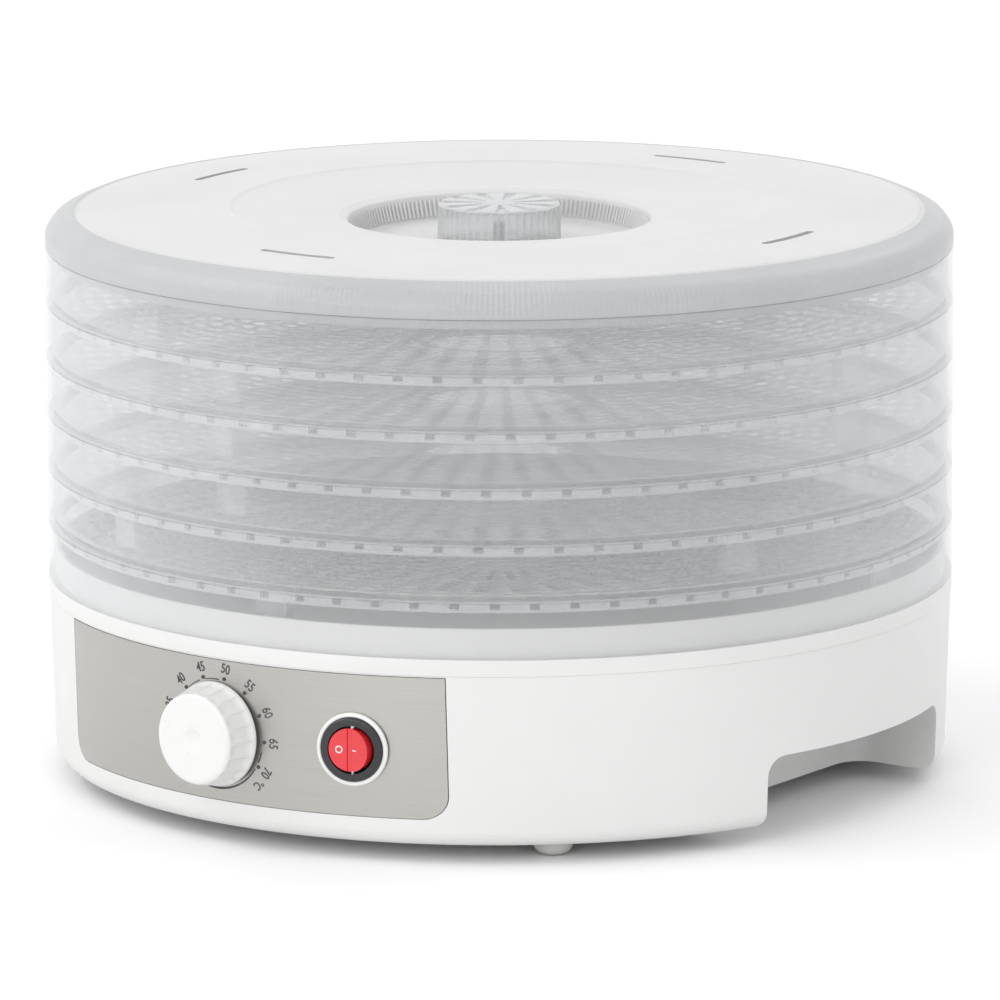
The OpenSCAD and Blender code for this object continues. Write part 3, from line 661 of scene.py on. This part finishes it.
def make_lid_knob():
    """Clear knob: fine flutes round its side and a ring of drop-shaped hollows in its top."""
    low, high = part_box("lid_knob")
    radius = high.x
    height = high.z - low.z
    flutes = 48
    petals = 11
    hollow = 0.9 * MM

    def petal_depth(r, angle):
        turn = (angle * petals / TAU) % 1.0 - 0.5
        across = abs(turn) * TAU / petals * r
        reach = (r - 6 * MM) / (radius - 9 * MM)
        if not 0 < reach < 1.15:
            return 0.0
        half = 0.5 * MM + 2.0 * MM * min(reach, 1.0)
        if reach > 1:
            half *= math.sqrt(max(0.0, 1 - ((reach - 1) / 0.15) ** 2))
        edge = (half - across) / (0.5 * MM)
        return hollow * min(max(edge, 0.0), 1.0)

    def reshape(r, z, angle):
        if r > radius - 1.2 * MM and 1.0 * MM < z < height - 1.0 * MM:
            wave = 0.5 - 0.5 * math.cos(flutes * angle)
            return r - 0.7 * MM * wave, z
        if z > height - 0.2 * MM:
            return r, z - petal_depth(r, angle)
        return r, z

    side = [(0.2 * MM, 0), (radius - 0.5 * MM, 0), (radius, 0.5 * MM), (radius, 1.1 * MM)]
    side += [(radius - 0.01 * MM, 1.6 * MM), (radius - 0.1 * MM, height - 2.2 * MM)]
    for k in range(6):
        a = math.radians(90 * k / 5)
        side.append((radius - 1.5 * MM + 1.4 * MM * math.cos(a), height - 1.5 * MM + 1.5 * MM * math.sin(a)))
    rows = 26
    for k in range(1, rows + 1):
        side.append((radius - 1.5 * MM - (radius - 1.7 * MM) * k / rows, height))
    shape = Shape()
    shape.revolve(side, 528, reshape)
    boss = [(0.2 * MM, height - 1.3 * MM), (4.6 * MM, height - 1.3 * MM), (4.6 * MM, height - 0.15 * MM),
            (0.2 * MM, height)]
    shape.revolve(rounded(boss, 0.3 * MM), 64)
    place("fluted_lid_knob", shape.mesh("fluted_lid_knob", [KNOB_CLEAR]), "lid", "clear_knob_plastic",
          ["lid_knob"], Matrix.Translation((0, 0, low.z)))


# ---------------------------------------------------------------------------------- base
def on_wall(turn, z, out=0.0):
    """Matrix that stands a piece on the wall: its +Z points outwards and its +Y points up."""
    stand = Matrix.Rotation(math.radians(90), 4, "X")
    return Matrix.Rotation(turn, 4, "Z") @ Matrix.Translation((0, -wall_r(z) - out, z)) @ stand


def make_deck():
    skirt_r = HOUSING_R - 2.9 * MM
    deck_z = SEAM_Z - 2.5 * MM
    ring_out = NEST_OUT_R - GAP
    ring_in = ring_out - CLEAR_T
    ring_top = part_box("top_deck")[1].z
    duct_r = 60 * MM
    shape = Shape()
    shape.revolve(rounded([
        (duct_r, deck_z), (skirt_r - 2.5 * MM, deck_z), (skirt_r - 2.5 * MM, BAND_Z - 4 * MM),
        (skirt_r, BAND_Z - 4 * MM), (skirt_r, BAND_Z, 0.1 * MM), (RIM_R, BAND_Z, 0.5 * MM),
        (RIM_R, SEAM_Z, 0.5 * MM), (ring_out, SEAM_Z, 0.3 * MM), (ring_out, ring_top),
        (ring_in, ring_top), (ring_in, SEAM_Z, 1.2 * MM), (duct_r, SEAM_Z)], 0.6 * MM), 256)
    post_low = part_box("top_deck")[0].z
    for i in range(4):
        post = Shape()
        post.revolve(rounded([(1.6 * MM, post_low), (4.5 * MM, post_low), (4.5 * MM, deck_z),
                              (1.6 * MM, deck_z)], 0.3 * MM), 32)
        angle = math.radians(45 + 90 * i)
        r = 129.7 * MM
        shape.add(post.verts, post.faces, shift=(r * math.sin(angle), -r * math.cos(angle), 0))
    place("white_deck", shape.mesh("white_deck", [WHITE]), "base", "white_plastic", ["top_deck"])


def make_dial_knob():
    low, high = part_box("thermostat_knob")
    base_r = high.x
    height = high.y - low.y
    face_r = 16 * MM
    flutes = 20

    def reshape(r, z, angle):
        side = min(max((z - 1.6 * MM) / (1.2 * MM), 0), 1)
        side *= min(max((height - 1.0 * MM - z) / (1.5 * MM), 0), 1)
        if r < 12 * MM or side <= 0:
            return r, z
        phase = (angle * flutes / TAU) % 1.0
        flat = 1 - (2 * phase - 1) ** 2
        return r - 0.75 * MM * side * flat ** 0.6, z

    outline = [(10 * MM, 0), (base_r - 0.4 * MM, 0), (base_r, 0.4 * MM), (base_r - 0.05 * MM, 1.4 * MM)]
    rows = 7
    for k in range(rows + 1):
        t = k / rows
        outline.append((base_r - 0.3 * MM - (base_r - face_r - 0.5 * MM) * t,
                        1.9 * MM + (height - 4.0 * MM) * t))
    for k in range(1, 7):
        a = math.radians(8 + 82 * k / 6)
        outline.append((face_r - 1.8 * MM + 1.8 * MM * math.cos(a),
                        height - 1.8 * MM + 1.8 * MM * math.sin(a)))
    dish_r = 4.6 * MM
    outline += [(12 * MM, height), (8 * MM, height), (dish_r + 0.8 * MM, height)]
    for k in range(1, 9):
        t = k / 8
        outline.append((dish_r * (1 - t) + 0.1 * MM * t,
                        height - 1.0 * MM * (0.5 - 0.5 * math.cos(math.pi * min(1, 1.25 * t)))))
    outline += [(0.1 * MM, 9.0 * MM), (3 * MM, 9.0 * MM), (3 * MM, 3.6 * MM), (10 * MM, 3.6 * MM)]
    shape = Shape()
    shape.revolve(outline, 480, reshape)
    stand = on_wall(0, DIAL_Z, 0)
    stand.translation.y = high.y
    place("dial_knob", shape.mesh("dial_knob", [KNOB_WHITE], 40), "thermostat_control", "white_plastic",
          ["thermostat_knob"], stand)


def wrap_on_wall(mesh, turn, z):
    """Bends a flat mesh, drawn in its own X and Y, onto the drafted wall."""
    for v in mesh.vertices:
        up = z + v.co.y
        r = wall_r(up) + 0.02 * MM + v.co.z
        angle = turn + v.co.x / wall_r(z)
        v.co = (r * math.sin(angle), -r * math.cos(angle), up)


def lettering(text, size, radius, degrees):
    """Flat digits set on a dial: their feet towards its centre, at a clockwise angle from the top."""
    curve = bpy.data.curves.new("digits", "FONT")
    curve.body = text
    curve.size = size
    curve.align_x = "CENTER"
    curve.align_y = "CENTER"
    curve.extrude = 0.05 * MM
    curve.offset = 0.02 * MM
    piece = bpy.data.objects.new("digits", curve)
    scene.collection.objects.link(piece)
    bpy.context.view_layer.update()
    mesh = bpy.data.meshes.new_from_object(piece.evaluated_get(bpy.context.evaluated_depsgraph_get()))
    bpy.data.objects.remove(piece)
    turn = Matrix.Rotation(-math.radians(degrees), 4, "Z")
    mesh.transform(turn @ Matrix.Translation((0, radius, 0.05 * MM)) @ Matrix.Scale(0.78, 4, (1, 0, 0)))
    return mesh


def joined(name, meshes, material):
    """Several meshes as one."""
    bm = bmesh.new()
    for mesh in meshes:
        bm.from_mesh(mesh)
    result = bpy.data.meshes.new(name)
    bm.to_mesh(result)
    bm.free()
    result.materials.append(material)
    for polygon in result.polygons:
        polygon.material_index = 0
    return result


def arc_band(inner, outer_from, outer_to, start, end):
    """A flat printed band round the dial whose width changes from one end to the other."""
    shape = Shape()
    steps = max(4, round(abs(end - start) / 3))
    angles = [math.radians(start + (end - start) * k / steps) for k in range(steps + 1)]

    def spot(angle, v, side):
        t = (angle - angles[0]) / (angles[-1] - angles[0])
        r = inner + v * (outer_from + (outer_to - outer_from) * t)
        return (r * math.sin(angle), r * math.cos(angle), 0.1 * MM if side else 0)

    shape.plate(angles, [0, 1], lambda i, j: False, spot, wrap=False)
    return shape.mesh("band", [])


DIAL_FIRST = -71
DIAL_STEP = 27.3
DIGIT_R = 23.3 * MM


def make_dial_print():
    meshes = []
    for i in range(8):
        degrees = DIAL_FIRST + i * DIAL_STEP
        meshes.append(lettering(str(35 + 5 * i), 4.9 * MM, DIGIT_R, degrees))
    meshes.append(lettering("°C", 4.4 * MM, DIGIT_R, DIAL_FIRST + 7 * DIAL_STEP + 13.5))
    band_r = 18.9 * MM
    for start, end, thin, thick in ((-40, -22, 0.25, 0.35), (-14, 4, 0.3, 0.35), (104, 116, 0.35, 0.4),
                                    (124, 214, 0.4, 1.1)):
        meshes.append(arc_band(band_r, thin * MM, thick * MM, start, end))
    mesh = joined("dial_print", meshes, INK)
    wrap_on_wall(mesh, 0, DIAL_Z)
    place("dial_print", mesh, "base", "black_print")


def make_switch_symbols():
    """A ring and a bar printed on the rocker's two halves."""
    tilt = math.radians(10)
    rise = 2.2 * MM
    lift = 0.06 * MM
    ring = Shape()
    ring.revolve(rounded([(0.95 * MM, 0), (1.3 * MM, 0), (1.3 * MM, lift), (0.95 * MM, lift)], 0), 40)
    level = Matrix.Rotation(-tilt, 4, "Y")
    up = Matrix.Translation((0, 0, rise))
    left = up @ Matrix.Rotation(tilt, 4, "Y") @ Matrix.Translation((-3.9 * MM, 0, 0))
    right = up @ Matrix.Rotation(-tilt, 4, "Y") @ Matrix.Translation((1.9 * MM, 0, 0))
    bar = Shape()
    bar.add(*block((1.5 * MM, 0.35 * MM, lift), (0, 0, lift / 2)))
    meshes = []
    for shape, spot in ((ring, left), (bar, right)):
        mesh = shape.mesh("symbol", [])
        mesh.transform(on_wall(SWITCH_TURN, SWITCH_Z, SWITCH_RISE) @ level @ spot)
        meshes.append(mesh)
    place("switch_symbols", joined("switch_symbols", meshes, WHITE_INK), "rocker", "white_plastic")


def make_switch_trim():
    """White ring with a thin dark edge round the switch."""
    low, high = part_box("switch_bezel")
    bezel_r = (high.z - low.z) / 2
    shape = Shape()
    shape.revolve(rounded([(bezel_r + 0.02 * MM, 0), (SWITCH_RING_R, 0), (SWITCH_RING_R, 1.0 * MM, 0.6 * MM),
                           (bezel_r + 0.5 * MM, 1.4 * MM, 0.5 * MM), (bezel_r + 0.02 * MM, 1.2 * MM)],
                          0.2 * MM), 96)
    place("switch_collar", shape.mesh("switch_collar", [KNOB_WHITE]), "base", "white_plastic",
          ["switch_ring"], on_wall(SWITCH_TURN, SWITCH_Z, SWITCH_RISE))


def make_feet():
    low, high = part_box("rubber_feet")
    foot_r = 7 * MM
    reach = (high.x - foot_r) / math.sin(math.radians(45))
    shape = Shape()
    for i in range(4):
        foot = Shape()
        outline = [(0.1 * MM, 6 * MM), (0.1 * MM, 0), (2.4 * MM, 0)]
        for k in range(1, 9):
            a = math.radians(90 * k / 8)
            outline.append((2.4 * MM + 4.6 * MM * math.sin(a), 4.2 * MM * (1 - math.cos(a))))
        outline += [(foot_r, 5.9 * MM)]
        foot.revolve(outline, 48)
        stem = Shape()
        stem.revolve(rounded([(0.1 * MM, 5.9 * MM), (2.5 * MM, 5.9 * MM), (2.5 * MM, high.z),
                              (0.1 * MM, high.z)], 0.2 * MM), 32)
        angle = math.radians(45 + 90 * i)
        spot = (reach * math.sin(angle), -reach * math.cos(angle), 0)
        shape.add(foot.verts, foot.faces, shift=spot)
        shape.add(stem.verts, stem.faces, shift=spot)
    place("domed_feet", shape.mesh("domed_feet", [FOOT]), "base", "grey_rubber", ["rubber_feet"])


# ---------------------------------------------------------------------------------- inside
def make_heater():
    """Resistance wire wound as a coil round two circles."""
    low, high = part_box("heater_coils")
    middle = (low.z + high.z) / 2
    coil_r = (high.z - low.z) / 2
    for name, ring_r, turns in (("inner", 30 * MM, 70), ("outer", 45 * MM, 104)):
        steps = turns * 12
        curve = bpy.data.curves.new(f"heater_coil_{name}", "CURVE")
        curve.dimensions = "3D"
        curve.bevel_depth = 0.35 * MM
        curve.bevel_resolution = 1
        spline = curve.splines.new("POLY")
        spline.points.add(steps - 1)
        for i in range(steps):
            angle = TAU * i / steps
            wind = turns * angle
            r = ring_r + (coil_r - 0.35 * MM) * math.cos(wind)
            z = middle + (coil_r - 0.35 * MM) * math.sin(wind)
            spline.points[i].co = (r * math.cos(angle), r * math.sin(angle), z, 1)
        spline.use_cyclic_u = True
        temporary = bpy.data.objects.new("temporary", curve)
        scene.collection.objects.link(temporary)
        bpy.context.view_layer.update()
        mesh = bpy.data.meshes.new_from_object(
            temporary.evaluated_get(bpy.context.evaluated_depsgraph_get()))
        bpy.data.objects.remove(temporary)
        mesh.materials.clear()
        mesh.materials.append(HOT_WIRE)
        mesh.shade_smooth()
        place(f"heater_coil_{name}", mesh, "base", "heater_wire", ["heater_coils"])


def finish_cad_nodes():
    """Gives every CAD node that stays in view its material."""
    finishes = {
        WHITE: ["base_housing", "bottom_cover", "outlet_grille"],
        STEEL: ["control_panel"],
        INK: ["dial_marks"],
        BLACK: ["switch_bezel", "cable_gland", "thermal_cutout", "fan_impeller"],
        RED: ["switch_rocker"],
        ZINC: ["cover_screws", "bracket_screws", "motor_bracket", "thermostat_body", "thermostat_nut",
               "lid_knob_screw"],
        BRIGHT: ["motor_shaft", "switch_pivot", "thermostat_shaft"],
        BRASS: ["motor_bushes", "switch_terminals"],
        COPPER: ["motor_coil"],
        LAMINATED: ["motor_stator", "motor_rotor"],
        SHEET: ["air_duct"],
        MICA: ["heater_frame"],
        CREAM: ["terminal_block"],
        SLEEVE: ["wiring"],
    }
    for material, nodes in finishes.items():
        for node in nodes:
            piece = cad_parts[node]
            piece.data.materials.clear()
            piece.data.materials.append(material)


make_trays()
make_stacking_ring()
make_lid()
make_lid_knob()
make_deck()
make_dial_knob()
make_dial_print()
make_switch_symbols()
make_switch_trim()
make_feet()
make_heater()
finish_cad_nodes()


# ---------------------------------------------------------------------------------- studio
def studio_floor():
    mesh = bpy.data.meshes.new("floor")
    size = 6.0
    mesh.from_pydata([(-size, -size, 0), (size, -size, 0), (size, size, 0), (-size, size, 0)], [],
                     [(0, 1, 2, 3)])
    floor = bpy.data.objects.new("floor", mesh)
    scene.collection.objects.link(floor)
    n = Nodes("studio_floor")
    n.colours(n.noise(n.coords, 2), (0.90, 0.90, 0.90), (0.93, 0.93, 0.93))
    n.vary("Roughness", n.noise(n.coords, 5), 0.7, 0.85)
    mesh.materials.append(n.material)


def soft_light(name, spot, aim, size, power):
    light = bpy.data.lights.new(name, "AREA")
    light.shape = "RECTANGLE"
    light.size, light.size_y = size
    light.energy = power
    lamp = bpy.data.objects.new(name, light)
    lamp.location = spot
    lamp.rotation_euler = (Vector(aim) - Vector(spot)).to_track_quat("-Z", "Y").to_euler()
    scene.collection.objects.link(lamp)


def studio_world():
    world = bpy.data.worlds.new("studio")
    world.use_nodes = True
    world.node_tree.nodes["Background"].inputs["Color"].default_value = (1, 1, 1, 1)
    world.node_tree.nodes["Background"].inputs["Strength"].default_value = 1.0
    scene.world = world


def studio_camera():
    """Long lens from the panel's right, a little above the lid."""
    azimuth, pitch, roll = math.radians(37.7), math.radians(11.25), math.radians(-0.16)
    distance = 3.44
    aim = Vector((0, 0, 95.6 * MM))
    back = Vector((math.sin(azimuth) * math.cos(pitch), -math.cos(azimuth) * math.cos(pitch),
                   math.sin(pitch)))
    lens = bpy.data.cameras.new("camera")
    lens.sensor_width = 36
    lens.lens = 349.6
    lens.clip_end = 30
    camera = bpy.data.objects.new("camera", lens)
    turn = back.to_track_quat("Z", "Y").to_matrix().to_4x4() @ Matrix.Rotation(roll, 4, "Z")
    camera.matrix_world = Matrix.Translation(aim + back * distance) @ turn
    scene.collection.objects.link(camera)
    scene.camera = camera


studio_floor()
studio_world()
soft_light("key", (-1.6, -1.2, 2.2), (0, 0, 0.1), (1.6, 1.2), 16)
soft_light("fill", (0.45, -2.3, 0.9), (0, 0, 0.08), (1.3, 1.2), 14)
soft_light("rim", (0.4, 1.9, 1.8), (0, 0, 0.15), (1.6, 0.8), 9)
studio_camera()
scene.view_settings.view_transform = "Standard"
scene.cycles.transparent_max_bounces = 64
scene.cycles.max_bounces = 10
